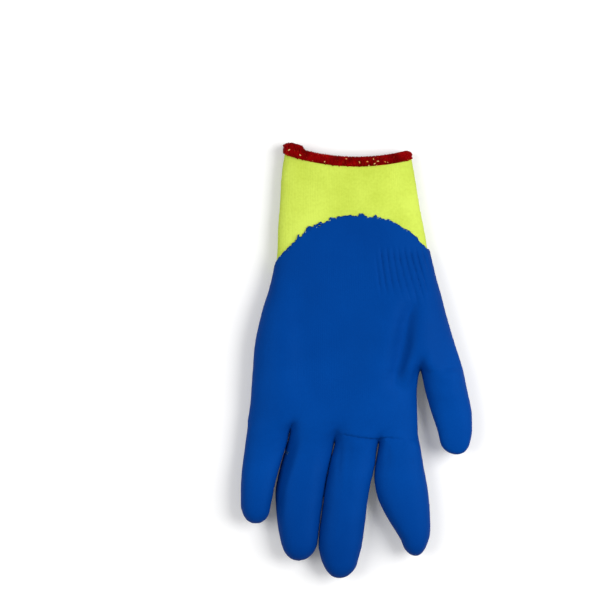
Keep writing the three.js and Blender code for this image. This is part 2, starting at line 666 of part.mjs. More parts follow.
// The label: a woven strip under the back of the cuff, its top against the edging.
function labelGeometry() {
  const top = EDGE_HEIGHT + CLEARANCE;
  const rows = LABEL_STEPS.map((share) => (top + share * LABEL_LENGTH) / HAND_LENGTH);
  const across = LABEL_STEPS.map((share) => (share - 0.5) * LABEL_WIDTH);
  const placed = (depth) =>
    rows.flatMap((at) => {
      const section = handSection(at);
      const half = (section.right - section.left) / 2;
      return across.map((x) => {
        const point = sectionPoint(section, x / half, false);
        point.y -= cuffDrop(at)(x / half);
        point.z -= SETTLE + depth;
        return point;
      });
    });
  const size = LABEL_STEPS.length;
  const triangles = [];
  for (let row = 1; row < size; row += 1) {
    for (let column = 1; column < size; column += 1) {
      const [a, b] = [(row - 1) * size + column - 1, (row - 1) * size + column];
      const [c, d] = [row * size + column, row * size + column - 1];
      triangles.push([a, b, c], [a, c, d]);
    }
  }
  return wallGeometry(placed(CLEARANCE + LABEL_THICKNESS), placed(CLEARANCE), triangles);
}

const PIECES = [
  { name: 'knit_liner', geometry: linerGeometry(), color: 0xd1e55e, roughness: 0.95 },
  { name: 'palm_coat', geometry: coatGeometry(), color: 0x01449a, roughness: 0.5 },
  { name: 'cuff_edging', geometry: edgingGeometry(), color: 0x880205, roughness: 0.6 },
  { name: 'cuff_label', geometry: labelGeometry(), color: 0x16161a, roughness: 0.8 },
];

const glove = new THREE.Group();
for (const { name, geometry, color, roughness } of PIECES) {
  const piece = new THREE.Mesh(geometry, new THREE.MeshStandardMaterial({ color, roughness, metalness: 0 }));
  piece.name = name;
  glove.add(piece);
}

// The origin lies on the surface that the glove rests on, under the middle of its box
const box = new THREE.Box3().setFromObject(glove);
const middle = box.getCenter(new THREE.Vector3());
glove.position.set(-middle.x, -middle.y, -box.min.z);

export default glove;
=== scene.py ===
"""A dipped work glove, palm up: knitted liner, rubber coat, overlocked cuff edge and a bare label."""

import math

import bpy
import numpy as np
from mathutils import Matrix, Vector, noise
from mathutils.bvhtree import BVHTree
from mathutils.kdtree import KDTree


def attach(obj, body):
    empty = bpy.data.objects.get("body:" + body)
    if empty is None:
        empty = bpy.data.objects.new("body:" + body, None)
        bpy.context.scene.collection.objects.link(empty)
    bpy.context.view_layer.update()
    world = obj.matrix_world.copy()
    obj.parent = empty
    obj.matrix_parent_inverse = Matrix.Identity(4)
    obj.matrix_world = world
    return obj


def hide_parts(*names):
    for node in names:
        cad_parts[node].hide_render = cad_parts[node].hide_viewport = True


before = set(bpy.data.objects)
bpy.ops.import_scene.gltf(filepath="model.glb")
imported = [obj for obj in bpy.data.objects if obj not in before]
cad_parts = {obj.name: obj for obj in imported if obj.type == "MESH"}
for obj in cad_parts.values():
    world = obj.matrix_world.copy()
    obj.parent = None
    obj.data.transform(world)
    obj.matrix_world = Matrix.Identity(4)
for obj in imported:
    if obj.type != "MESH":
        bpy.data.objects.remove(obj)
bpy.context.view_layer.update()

# Lengths are in millimetres until a piece is made
MM = 0.001
# The spacing of the even mesh, and the least height of the coat above the floor
GRAIN = 1.28
FLOOR_ROOM = 0.1

# The knit's wall, and the spare length that closes its mouth while the skin is shaped
KNIT_WALL = 1.4
MOUTH_SPARE = 8

# The coat's faces above the knit, its thin edge, and what it leaves where fingers press together
COAT_UNDER = 0.12
COAT_OVER = 1.3
COAT_EDGE = 0.4
COAT_LEAST = 0.3
EDGE_ROUND = 1.5
PRESSED_COAT = 2.3
PRESSED_GAP = 0.15
CROTCH_OPEN = 0.8

# The edging's height below the cuff's edge, how far it stands out, and its thread
BAND_HEIGHT = 5
BAND_OUT = 0.62
BAND_STEP = 0.55
RIM_STEP = 0.4
THREAD_RADIUS = 0.36
THREAD_PITCH = 0.82
THREAD_SIDES = 6
LUMP_RISE = 2.05
CORNER_FALL = 1.2

LABEL_THICK = 0.55
LABEL_GAP = 0.25

# Each finger's root and tip in the plan, how much its tip narrows, and its reach to either side
FINGERS = {
    "little": ((-47, -40), (-57.5, -95), 0.1, 9.6),
    "ring": ((-24.5, -40), (-33.5, -116), 0.2, 16),
    "middle": ((1, -44), (-9.5, -125), 0.3, 16),
    "index": ((26, -45), (34, -113), 0.4, 16),
    "thumb": ((47, -2), (60, -54), 0.2, 16),
}
# The places between the fingers' roots, and the thumb's crotch with how far it is drawn up
CROTCHES = ((-36.7, -40), (-12, -46), (14, -47.5))
THUMB_CROTCH = (37.2, -8.5)
CROTCH_RISE = 3
CROTCH_WIDTH = 6.5
# The roundness of a finger and of the palm's sides, for the wales that run over them
FINGER_ROUND = 7.7
FINGER_REACH = 14
PALM_ROUND = 11.5
PALM_FLAT = 36.5

# Creases of the palm: their line in the plan, depth and width
CREASES = [
    (((1, 11), (6, 12.2), (11.4, 11.6)), 0.16, 1.2),
    (((31, 24), (21, 22), (12, 24.5)), 0.12, 2),
]
# The fold along the thumb's mound, and its width on either side
THUMB_FOLD = (
    (33.6, 44), (32.6, 34.2), (30.4, 27.3), (28.8, 19.7), (27.6, 11.6),
    (25.8, 3.5), (24, -3.2), (21.9, -10.7), (21.2, -20),
)
THUMB_FOLD_DEPTH = 3.5
PALM_SIDE, MOUND_SIDE = 7, 3.7
# The broad hollow down the palm, the ripples by the thumb and the faint ribs in the middle
HOLLOW_DEPTH, HOLLOW_WIDTH, HOLLOW_X = 1.3, 8.5, -31
RIPPLE_DEPTH, RIPPLE_PITCH = 0.85, 3.65
RIB_DEPTH, RIB_PITCH = 0.09, 3.6
# The fold where the palm's rubber laps over the roots of the middle and index fingers
ROOT_FOLD = (
    (-14, -41.2), (-6.7, -41.4), (1, -42.9), (8.9, -43.7), (14.5, -43), (20.5, -43.6), (27.5, -44.6),
)
LAP_DEPTH, LAP_RISE = 0.75, 0.3
# Soft folds down the fingers: their line in the plan, depth and width
FINGER_FOLDS = [
    (((-8.2, -43), (-9.6, -58), (-10.6, -88)), 0.36, 1.4),
    (((-3.6, -43), (-4.6, -60), (-6.6, -84)), 0.3, 1.5),
    (((17.3, -46), (18.4, -54), (20, -70)), 0.28, 1.6),
    (((-20.2, -52), (-21.3, -66), (-22.6, -84)), 0.22, 2),
]
# The line where the little finger presses over the ring finger, and the step across it
LITTLE_EDGE = ((-36.4, -38), (-41, -55), (-46.2, -72), (-47.6, -87), (-46.6, -100))
RING_SIDE_FALL, LITTLE_SHOULDER_RISE = 4.3, 1.0
BACK_FOLD_DEPTH, BACK_FOLD_PITCH = 0.9, 17
# Hollows of the limp cuff: their place at its edge, lean, width and depth
CUFF_EDGE_Y = 110
CUFF_HOLLOWS = [(22, 0.1, 5.5, 0.55), (-29, 0.05, 7, 0.35)]
# Where the coat's edge is drawn out at the palm's side: place, width and how far
EDGE_PATCH, EDGE_PATCH_WIDTH, EDGE_PATCH_RISE = (-50, 43), 7, 2.4

# Columns of the rows that are refined and cut together
PLACE, OUT, WALES, DEPTH, ROOM, REACH = slice(0, 3), slice(3, 6), slice(6, 8), 8, 8, 9

# The yarn flecks' places, as shares of the cuff's front from left to right
FLECKS = (0.03, 0.12, 0.22, 0.31, 0.48, 0.59, 0.65, 0.665, 0.71, 0.725, 0.735, 0.79, 0.815, 0.7)

# Lamps: their place, side and watts
LAMPS = {"right": ((0.75, 0.15, 0.85), 0.8, 11.2), "left": ((-0.7, 0.1, 0.9), 0.8, 5.6)}
ROOM_LIGHT = 0.34


def unit(rows):
    return rows / np.maximum(np.linalg.norm(rows, axis=-1, keepdims=True), 1e-9)


def ease(values, start, end):
    """0 up to start, 1 from end on, and a soft step between them."""
    t = np.clip((values - start) / (end - start), 0, 1)
    return t * t * (3 - 2 * t)


def band(values, start, full, waning, end):
    """0 up to start, 1 from full to waning, and 0 again from end on, with soft steps between."""
    return ease(values, start, full) * (1 - ease(values, waning, end))


def bell(values, width):
    """1 at zero, and less on both sides of it."""
    return np.exp(-((values / width) ** 2))


def waves(values, pitch):
    """1 at zero and at each pitch from there, 0 halfway between."""
    return 0.5 + 0.5 * np.cos(2 * np.pi * values / pitch)


def mesh_arrays(mesh):
    """A mesh's corners and triangles."""
    corners = np.empty(len(mesh.vertices) * 3, np.float32)
    mesh.vertices.foreach_get("co", corners)
    mesh.calc_loop_triangles()
    faces = np.empty(len(mesh.loop_triangles) * 3, np.int32)
    mesh.loop_triangles.foreach_get("vertices", faces)
    return corners.reshape(-1, 3).astype(float), faces.reshape(-1, 3).astype(int)


def add_object(name, data):
    thing = bpy.data.objects.new(name, data)
    bpy.context.scene.collection.objects.link(thing)
    return thing


def welded(points, faces):
    """Joins the points that lie at one place."""
    points, place = np.unique(np.round(points, 3), axis=0, return_inverse=True)
    return points, place.ravel()[faces]


def node_surface(name):
    corners, faces = mesh_arrays(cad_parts[name].data)
    return welded(corners / MM, faces)


def triangles(*corners):
    """Triangles from sets of three rows of corner numbers."""
    return np.concatenate([np.stack(three, 1) for three in corners])


def grid_quads(rows, columns, rows_close, columns_close):
    """The quads of a grid of points, which may close on itself in either direction."""
    i = np.arange(rows - 1 + rows_close)[:, None]
    j = np.arange(columns - 1 + columns_close)[None]
    here, ahead, beside = i * columns, (i + 1) % rows * columns, (j + 1) % columns
    return np.stack([here + j, here + beside, ahead + beside, ahead + j], -1).reshape(-1, 4)


def halved(quads):
    """Each quad as two triangles."""
    return np.concatenate([quads[:, [0, 1, 2]], quads[:, [0, 2, 3]]])


def parts_of(faces, count):
    """A number for each face that is the same for all faces that hang together."""
    part = np.arange(count)
    while True:
        low = part[faces].min(1)
        joined = part.copy()
        for corner in range(3):
            np.minimum.at(joined, faces[:, corner], low)
        joined = joined[joined]
        if (joined == part).all():
            return part[faces[:, 0]]
        part = joined


def main_part(faces, count):
    part = parts_of(faces, count)
    names, sizes = np.unique(part, return_counts=True)
    return faces[part == names[sizes.argmax()]]


def compact(rows, faces):
    """Drops the rows that no face uses."""
    used, place = np.unique(faces, return_inverse=True)
    return rows[used], place.reshape(faces.shape)


def surface_normals(points, faces):
    """Each point's normal, with every face weighted by its angle at the point."""
    corners = points[faces]
    flat = unit(np.cross(corners[:, 1] - corners[:, 0], corners[:, 2] - corners[:, 0]))
    total = np.zeros_like(points)
    for i in range(3):
        ahead = unit(corners[:, (i + 1) % 3] - corners[:, i])
        behind = unit(corners[:, (i + 2) % 3] - corners[:, i])
        angle = np.arccos(np.clip((ahead * behind).sum(1), -1, 1))
        for axis in range(3):
            total[:, axis] += np.bincount(faces[:, i], angle * flat[:, axis], len(points))
    return unit(total)


def sides_of(faces):
    """Every face's three sides, as directed pairs of points."""
    return faces[:, [0, 1, 1, 2, 2, 0]].reshape(-1, 2)


def edges_of(faces):
    return np.unique(np.sort(sides_of(faces), axis=1), axis=0)


def open_edges(faces):
    """The directed edges that only one face has."""
    pairs = sides_of(faces)
    _, place, times = np.unique(np.sort(pairs, axis=1), axis=0, return_inverse=True, return_counts=True)
    return pairs[times[place.ravel()] == 1]


def averaged(values, edges, rounds):
    """Evens out one value a point over the mesh."""
    return smoothed(values[:, None], edges, rounds, (0.5,))[:, 0]


def smoothed(values, edges, rounds, pulls=(0.5, -0.53)):
    """Evens out rows of values over the mesh, and pushes back so that the shape doesn't shrink."""
    near = np.bincount(edges.ravel(), minlength=len(values))[:, None]
    a, b = edges.T
    for _ in range(rounds):
        for pull in pulls:
            total = np.empty_like(values)
            for axis in range(values.shape[1]):
                total[:, axis] = np.bincount(a, values[b, axis], len(values))
                total[:, axis] += np.bincount(b, values[a, axis], len(values))
            values = values + pull * (total / near - values)
    return values


def rounded(points, faces, parts):
    """Bends each flat triangle to its corners' normals and divides its sides into parts."""
    normals = surface_normals(points, faces)
    p = points[faces].transpose(1, 0, 2)
    n = normals[faces].transpose(1, 0, 2)

    def third(i, j):
        rise = ((p[j] - p[i]) * n[i]).sum(1)[:, None]
        return (2 * p[i] + p[j] - rise * n[i]) / 3

    bends = {(i, j): third(i, j) for i in range(3) for j in range(3) if i != j}
    middle = sum(bends.values()) / 4 - p.sum(0) / 6
    spots = [(i, j) for i in range(parts + 1) for j in range(parts + 1 - i)]
    made = []
    for i, j in spots:
        w = (1 - (i + j) / parts, i / parts, j / parts)
        spot = sum(w[k] ** 3 * p[k] for k in range(3)) + 6 * w[0] * w[1] * w[2] * middle
        spot = spot + sum(3 * w[a] ** 2 * w[b] * bend for (a, b), bend in bends.items())
        made.append(spot)
    number = {spot: k for k, spot in enumerate(spots)}
    small = []
    for i, j in spots:
        if i + j < parts:
            small.append((number[i, j], number[i + 1, j], number[i, j + 1]))
        if i + j < parts - 1:
            small.append((number[i + 1, j], number[i + 1, j + 1], number[i, j + 1]))
    every = np.stack(made, 1)
    starts = np.arange(len(faces))[:, None, None] * len(spots)
    return welded(every.reshape(-1, 3), (starts + np.array(small)[None]).reshape(-1, 3))


def even_mesh(points, faces):
    """The same closed shape as a mesh of evenly spaced points."""
    mesh = bpy.data.meshes.new("rough_shape")
    mesh.from_pydata(points.tolist(), [], faces.tolist())
    thing = add_object("rough_shape", mesh)
    grid = thing.modifiers.new("even", "REMESH")
    grid.mode = "VOXEL"
    grid.voxel_size = GRAIN
    made = mesh_arrays(thing.evaluated_get(bpy.context.evaluated_depsgraph_get()).to_mesh())
    bpy.data.objects.remove(thing)
    bpy.data.meshes.remove(mesh)
    return made


def refine(rows, faces, chosen):
    """Halves every edge of the chosen faces, and fits the faces beside them to the new points."""
    edges, place = np.unique(np.sort(sides_of(faces), axis=1), axis=0, return_inverse=True)
    place = place.reshape(-1, 3)
    split = np.zeros(len(edges), bool)
    split[place[chosen].ravel()] = True
    number = np.full(len(edges), -1)
    number[split] = len(rows) + np.arange(split.sum())
    halves = rows[edges[split]].mean(1)
    mids = number[place]
    cuts = (mids >= 0).sum(1)
    a, b, c = faces[cuts == 3].T
    ab, bc, ca = mids[cuts == 3].T
    made = [faces[cuts == 0], triangles((a, ab, ca), (ab, b, bc), (ca, bc, c), (ab, bc, ca))]
    for times in (1, 2):
        some, some_mids = faces[cuts == times], mids[cuts == times]
        first = ((some_mids >= 0) == (times == 1)).argmax(1)
        turn = (first[:, None] + np.arange(3)) % 3
        a, b, c = np.take_along_axis(some, turn, 1).T
        ab, bc, ca = np.take_along_axis(some_mids, turn, 1).T
        if times == 1:
            made.append(triangles((a, ab, c), (ab, b, c)))
        else:
            made.append(triangles((a, b, bc), (a, bc, ca), (ca, bc, c)))
    return np.concatenate([rows, halves]), np.concatenate(made)


def cut_along(rows, faces, column, near):
    """Cuts the faces where one column of the rows crosses zero, and keeps the side above it."""
    rows = rows.copy()
    rows[np.abs(rows[:, column]) < near, column] = 0
    value = rows[:, column]
    side = np.sign(value).astype(int)
    sides = side[faces]
    crossed = (sides.min(1) < 0) & (sides.max(1) > 0)
    cut, sides = faces[crossed], sides[crossed]
    touching = (sides == 0).any(1)
    lone = (sides == -sides.sum(1)[:, None]).argmax(1)
    first = np.where(touching, (sides == 0).argmax(1), lone)
    cut = np.take_along_axis(cut, (first[:, None] + np.arange(3)) % 3, 1)
    one, two = cut[touching], cut[~touching]
    pairs = np.sort(np.concatenate([one[:, [1, 2]], two[:, [0, 1]], two[:, [2, 0]]]), axis=1)
    edges, place = np.unique(pairs, axis=0, return_inverse=True)
    number = len(rows) + place.ravel()
    i, j = edges.T
    t = (value[i] / (value[i] - value[j]))[:, None]
    fresh = rows[i] + t * (rows[j] - rows[i])
    fresh[:, column] = 0
    bc, ab, ca = np.split(number, [len(one), len(one) + len(two)])
    a, b, c = one.T
    made = [faces[~crossed], triangles((a, b, bc), (a, bc, c))]
    a, b, c = two.T
    made.append(triangles((a, ab, ca), (ab, b, c), (ab, c, ca)))
    rows, faces = np.concatenate([rows, fresh]), np.concatenate(made)
    kept = faces[(rows[faces, column] >= 0).all(1) & (rows[faces, column].max(1) > 0)]
    return compact(rows, main_part(kept, len(rows)))


def wall(outer, inner, faces):
    """A closed wall between two layers that share their faces."""
    count = len(outer)
    i, j = open_edges(faces).T
    sides = triangles((j, i, i + count), (j, i + count, j + count))
    return np.concatenate([outer, inner]), np.concatenate([faces, faces[:, ::-1] + count, sides])


def soft_noise(points, size, seed):
    """Smooth noise from -1 to 1, with lumps about as wide as size."""
    spots = points / size + np.array([seed * 7.3, seed * 3.1, seed * 5.7])
    return np.array([noise.noise(Vector(spot)) for spot in spots.tolist()])


def plan_distance(points, line):
    """The distance from each point to a line in the plan, and the share of it that is passed there."""
    line = np.array(line, float)
    best = np.full(len(points), 1e9)
    share = np.zeros(len(points))
    for k, (start, end) in enumerate(zip(line[:-1], line[1:])):
        way = end - start
        t = np.clip(((points[:, :2] - start) @ way) / (way @ way), 0, 1)
        away = np.linalg.norm(points[:, :2] - start - t[:, None] * way, axis=1)
        closer = away < best
        best[closer] = away[closer]
        share[closer] = (k + t[closer]) / (len(line) - 1)
    return best, share


def right_of(points, line):
    """Which points lie to the right of a line that runs down the plan."""
    line = np.array(line)[::-1]
    return points[:, 0] > np.interp(points[:, 1], line[:, 1], line[:, 0])


def along_finger(points, start, root, tip):
    """How far each point lies along a finger and across it, and the direction across."""
    way = unit(np.subtract(tip, root))
    beside = np.array([-way[1], way[0]])
    return (points[:, :2] - start) @ way, (points[:, :2] - start) @ beside, beside


def finger_distances(points):
    """Each point's distance from each finger's middle line, a row for each finger."""
    return np.array([plan_distance(points, finger[:2])[0] for finger in FINGERS.values()])


def place_tree(places):
    """A tree that finds the nearest of the places."""
    tree = KDTree(len(places))
    for k, place in enumerate(places):
        tree.insert(place, k)
    tree.balance()
    return tree


def liner_outside():
    """The outer layer of the frame's liner, without its cut edge, and the line of that edge."""
    points, faces = node_surface("knit_liner")
    a, b, c = points[faces].transpose(1, 0, 2)
    flat = unit(np.cross(b - a, c - a))
    edge = (flat[:, 1] > 0.8) & (points[faces][:, :, 1].min(1) > points[:, 1].max() - 12)
    layers = faces[~edge]
    part = parts_of(layers, len(points))
    spans = {k: np.ptp(points[np.unique(layers[part == k])], axis=0).sum() for k in np.unique(part)}
    points, faces = compact(points, layers[part == max(spans, key=spans.get)])
    following = dict(open_edges(faces).tolist())
    ring = [next(iter(following))]
    while following[ring[-1]] != ring[0]:
        ring.append(following[ring[-1]])
    return points, faces, np.array(ring)


def closed_line(points, spacing):
    """A closed line through the points, curved and evenly spaced."""
    t = np.linspace(0, 1, 24, endpoint=False)[None, :, None]
    a, b, c, d = (np.roll(points, -k, 0)[:, None] for k in (-1, 0, 1, 2))
    curve = 0.5 * (2 * b + (c - a) * t + (2 * a - 5 * b + 4 * c - d) * t**2 + (3 * b - a - 3 * c + d) * t**3)
    curve = curve.reshape(-1, 3)
    steps = np.linalg.norm(np.roll(curve, -1, 0) - curve, axis=1)
    length = steps.sum()
    count = round(length / spacing)
    stations = np.arange(count) * length / count
    passed = np.concatenate([[0], np.cumsum(steps)])
    looped = np.concatenate([curve, curve[:1]])
    return np.stack([np.interp(stations, passed, looped[:, axis]) for axis in range(3)], 1), length


def bare_skin(points, faces, ring):
    """The liner's outer shape, closed past its mouth, smooth and evenly meshed."""
    spare = points[ring] + np.array([0, MOUTH_SPARE, 0])
    count = len(points)
    raised = count + np.arange(len(ring))
    tip = np.full(len(ring), count + len(ring))
    after, raised_after = np.roll(ring, -1), np.roll(raised, -1)
    closing = triangles((after, ring, raised), (after, raised, raised_after), (raised_after, raised, tip))
    points = np.concatenate([points, spare, spare.mean(0)[None]])
    points, faces = rounded(points, np.concatenate([faces, closing]), 4)
    points, faces = even_mesh(points, faces)
    return smoothed(points, edges_of(faces), 14), faces


def below_rim(points, rim):
    """How far below the cuff's edge each point lies."""
    tree = place_tree((rim * [1, 0, 1]).tolist())
    near = [tree.find((x, 0, z))[1] for x, _, z in points.tolist()]
    return rim[near, 1] - points[:, 1]


def palm_relief(points, up):
    """The palm's creases, folds and hollow, and the ripples under the dip line, as heights."""
    height = np.zeros(len(points))
    for line, depth, width in CREASES:
        away, share = plan_distance(points, line)
        lips = 0.3 * bell(away - 2.1 * width, 0.9 * width)
        height += depth * band(share, 0, 0.22, 0.78, 1) * (lips - bell(away, width))
    away, share = plan_distance(points, THUMB_FOLD)
    width = np.where(right_of(points, THUMB_FOLD), MOUND_SIDE, PALM_SIDE)
    height -= THUMB_FOLD_DEPTH * band(share, 0, 0.28, 0.8, 1) * bell(away, width)
    x, y, _ = points.T
    height -= HOLLOW_DEPTH * band(y, -34, -8, 36, 58) * bell(x - HOLLOW_X + 0.06 * y, HOLLOW_WIDTH)
    wander = soft_noise(points * [1, 0.25, 0], 9, 3) * 0.8
    lean = 0.15 + 0.12 * ease(x, 15, 37)
    ripple = waves(x - 15.3 + lean * (y - 52.8) + wander, RIPPLE_PITCH) ** 1.8
    low = 42 - 6 * ease(x, 20, 36)
    patch = band(x, 9, 14, 38, 42) * band(y, low - 6, low + 6, 60, 68)
    height -= RIPPLE_DEPTH * ripple * patch * (0.85 + 0.4 * soft_noise(points, 12, 5))
    patch = band(x, -24, -15, 2, 9) * band(y, 44, 54, 66, 76)
    height -= RIB_DEPTH * waves(x + wander, RIB_PITCH) * patch
    return height * ease(up, 0.15, 0.6)


def finger_relief(points, up):
    """The lap of the palm over two fingers' roots, and the soft folds that run down from it."""
    away, share = plan_distance(points, ROOT_FOLD)
    line = np.array(ROOT_FOLD)
    below = points[:, 1] < np.interp(points[:, 0], line[:, 0], line[:, 1])
    lap = np.where(below, -LAP_DEPTH * np.exp(-((away / 4.2) ** 1.5)), LAP_RISE * bell(away, 3.5))
    fade = ease(share, 0.05, 0.3) * (1 - 0.7 * ease(share, 0.7, 1)) * (share < 1)
    height = lap * fade * (away < 12)
    for line, depth, width in FINGER_FOLDS:
        away, share = plan_distance(points, line)
        height -= depth * band(share, 0, 0.3, 0.5, 1) * bell(away, width)
    return height * ease(up, -0.1, 0.4)


def pressed_fingers(points):
    """The rise of the little finger's shoulder, and the fall of the ring finger's side under it."""
    away, share = plan_distance(points, LITTLE_EDGE)
    fall = -RING_SIDE_FALL * (1 - ease(away, 0.8, 7.2))
    rise = LITTLE_SHOULDER_RISE * bell(away, 4.5) * (1 - ease(share, 0.5, 0.75))
    step = np.where(right_of(points, LITTLE_EDGE), fall, rise)
    return step * ease(points[:, 2], 3, 13) * band(share, 0, 0.25, 0.62, 1)


def plan_shape(points):
    """Draws the thumb's crotch up to its place, and tapers the fingertips."""
    x, y = points[:, 0].copy(), points[:, 1].copy()
    y += CROTCH_RISE * bell(x - THUMB_CROTCH[0], CROTCH_WIDTH) * bell(y - THUMB_CROTCH[1], CROTCH_WIDTH)
    nearest = finger_distances(points).argmin(0)
    for k, (root, tip, narrowing, reach) in enumerate(FINGERS.values()):
        passed, across, beside = along_finger(points, tip, root, tip)
        taper = narrowing * ease(passed, -14, 2) ** 1.5 * (nearest == k) * (np.abs(across) < reach)
        x -= taper * across * beside[0]
        y -= taper * across * beside[1]
    return np.column_stack([x, y, points[:, 2]])


def back_relief(points, up):
    """Soft folds that run down the back of the hand, all of them inwards."""
    x, y, _ = points.T
    wander = soft_noise(points * [1, 0.35, 0], 26, 8) * 9
    fold = waves(x + 0.08 * y + wander, BACK_FOLD_PITCH) ** 3
    return -BACK_FOLD_DEPTH * fold * band(y, -75, -20, 78, 104) * ease(-up, 0.3, 0.8)


def cuff_relief(points, up):
    """The shallow hollows of the limp cuff."""
    x, y, _ = points.T
    height = np.zeros(len(points))
    for place, lean, width, depth in CUFF_HOLLOWS:
        height -= depth * bell(x - place - lean * (CUFF_EDGE_Y - y), width)
    return height * ease(y, 74, 92) * ease(up, 0.2, 0.7)


def softened_roots(points, faces):
    """Evens out the step from the palm to the fingers, away from the crotches between them."""
    up = surface_normals(points, faces)[:, 2]
    reach = band(points[:, 1], -66, -54, -30, -18) * ease(up, 0.45, 0.8)
    for x, y in CROTCHES:
        reach = reach * ease(np.hypot(points[:, 0] - x, (points[:, 1] - y) * 0.7), 2.5, 6.5)
    edges = edges_of(faces)
    height = points[:, 2:3]
    for _ in range(60):
        height = height + reach[:, None] * (smoothed(height, edges, 1, (0.8,)) - height)
    return np.column_stack([points[:, :2], height])


def finely_worked(spots):
    """Which places carry relief that is finer than the even mesh."""
    x, y, z = spots.T
    ripples = (x > 9) & (x < 43) & (y > 30) & (y < 70)
    fold = (plan_distance(spots, THUMB_FOLD)[0] < 6) | (plan_distance(spots, ROOT_FOLD)[0] < 4)
    return (ripples | fold) & (z > 9)


def glove_skin():
    """The surface that the knit and its coat share, and how far inside the rim and the dip it lies."""
    points, faces, ring = liner_outside()
    rim, _ = closed_line(points[ring], RIM_STEP)
    skin, mesh = bare_skin(points, faces, ring)
    skin = plan_shape(softened_roots(skin, mesh))
    skin[:, 2] += pressed_fingers(skin)
    skin, mesh = refine(skin, mesh, finely_worked(skin[mesh].mean(1)))
    normals = surface_normals(skin, mesh)
    depth = below_rim(skin, rim)
    up = normals[:, 2]
    height = palm_relief(skin, up) + finger_relief(skin, up) + back_relief(skin, up) + cuff_relief(skin, up)
    unevenness = 0.32 * soft_noise(skin, 24, 1) + 0.1 * soft_noise(skin, 9, 2)
    height += np.where(up > 0.2, unevenness, unevenness - 0.42 * ease(-up, -0.2, 0.4))
    height *= ease(depth, 1.5, 11)
    skin = skin + normals * height[:, None]
    edges = edges_of(mesh)
    x, y, z = skin.T
    reach = averaged(coat_reach(skin, points, faces), edges, 30)
    patch = bell(x - EDGE_PATCH[0], EDGE_PATCH_WIDTH) * bell(y - EDGE_PATCH[1], EDGE_PATCH_WIDTH)
    reach += EDGE_PATCH_RISE * patch
    reach = np.maximum(reach, 6 * ease(z, 8, 12) * (y < 30) - 3.5)
    coat_room = COAT_OVER * ease(-up, 0, 0.5) * ease(reach, -5, 0)
    skin[:, 2] = np.maximum(z, FLOOR_ROOM + coat_room)
    normals = unit(smoothed(surface_normals(skin, mesh), edges, 2, (0.5,)))
    return skin, normals, mesh, depth, reach, rim


def coat_reach(points, knit, knit_faces):
    """How far inside the dip's edge each point lies, and below zero outside it."""
    knit_tree = BVHTree.FromPolygons(knit.tolist(), knit_faces.tolist())
    coat, coat_faces = node_surface("palm_coat")
    gap = np.array([knit_tree.find_nearest(p)[3] for p in coat.tolist()])
    under = coat_faces[(gap[coat_faces] < 0.65).all(1)]
    ends = coat[open_edges(under)]
    shares = np.linspace(0, 1, 60)[None, :, None]
    spots = (ends[:, :1] + shares * (ends[:, 1:] - ends[:, :1])).reshape(-1, 3)
    line = place_tree(spots.tolist())
    tree = BVHTree.FromPolygons(coat.tolist(), under.tolist())
    reach = []
    for p in points.tolist():
        near = tree.find_nearest(p)[0]
        away = line.find(p)[2]
        reach.append(-away if line.find(near)[2] < 0.25 else away)
    return np.array(reach)


def dip_teeth(points, up):
    """How the dip's edge strays: small sharp teeth over the palm, softer waves round the back."""
    x, y, _ = points.T
    arc = ease(y, 40, 66) * ease(up, -0.1, 0.35)
    ragged = 0.22 + 0.78 * band(x, -42, -35, 9, 17)
    sharp = 3.1 * np.abs(soft_noise(points, 2.7, 11)) + 1.0 * soft_noise(points, 1.3, 12) - 1.25
    sharp = sharp * ragged + 0.6 * soft_noise(points, 7, 14) - 0.3
    soft = 0.9 * soft_noise(points, 8, 13) + 0.5 * soft_noise(points, 2.8, 15)
    return arc * (sharp + 1 - ease(x, -45, -39)) + (1 - arc) * soft


def wale_places(points, normals):
    """How far each point lies across the knit's wales and along them."""
    side, up = normals[:, 0], np.abs(normals[:, 2])
    across = np.clip(points[:, 0], -PALM_FLAT, PALM_FLAT) + PALM_ROUND * np.arctan2(side, up)
    along = points[:, 1].copy()
    away = finger_distances(points)
    nearest = away.argmin(0)
    for k, (root, tip, _, _) in enumerate(FINGERS.values()):
        passed, across_here, beside = along_finger(points, root, root, tip)
        lean = np.arctan2(normals[:, :2] @ beside, up)
        own = root[0] + np.clip(across_here, -2, 2) + FINGER_ROUND * lean
        mine = (nearest == k) & (passed > 0) & (away[k] < FINGER_REACH)
        blend = ease(passed, 0, FINGER_REACH) * mine
        across = across * (1 - blend) + own * blend
        along = np.where(mine, root[1] - passed, along)
    return np.stack([across, along], 1)


def make_piece(name, points, faces, slot, replaces=None, **maps):
    """A mesh piece that moves with the glove. Each map gives two values for every point of a layer."""
    mesh = bpy.data.meshes.new(name)
    mesh.from_pydata((points * MM).tolist(), [], faces.tolist())
    mesh.polygons.foreach_set("use_smooth", np.ones(len(mesh.polygons), bool))
    corner = np.empty(len(mesh.loops), np.int32)
    mesh.loops.foreach_get("vertex_index", corner)
    for map_name, values in maps.items():
        values = np.tile(values, (len(points) // len(values), 1))[corner]
        mesh.uv_layers.new(name=map_name).data.foreach_set("uv", (values / 10).astype(np.float32).ravel())
    mesh.update()
    thing = add_object(name, mesh)
    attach(thing, "root")
    if replaces:
        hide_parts(replaces)
    return thing


def knit_piece(skin, normals, faces, depth):
    """The knitted glove as one wall with an open mouth."""
    rows = np.column_stack([skin, normals, wale_places(skin, normals), depth])
    rows, faces = cut_along(rows, faces, DEPTH, 0.1)
    outer, out = rows[:, PLACE], unit(rows[:, OUT])
    points, faces = wall(outer, outer - KNIT_WALL * out, faces)
    return make_piece("knitted_liner", points, faces, "knit", "knit_liner", wales=rows[:, WALES])


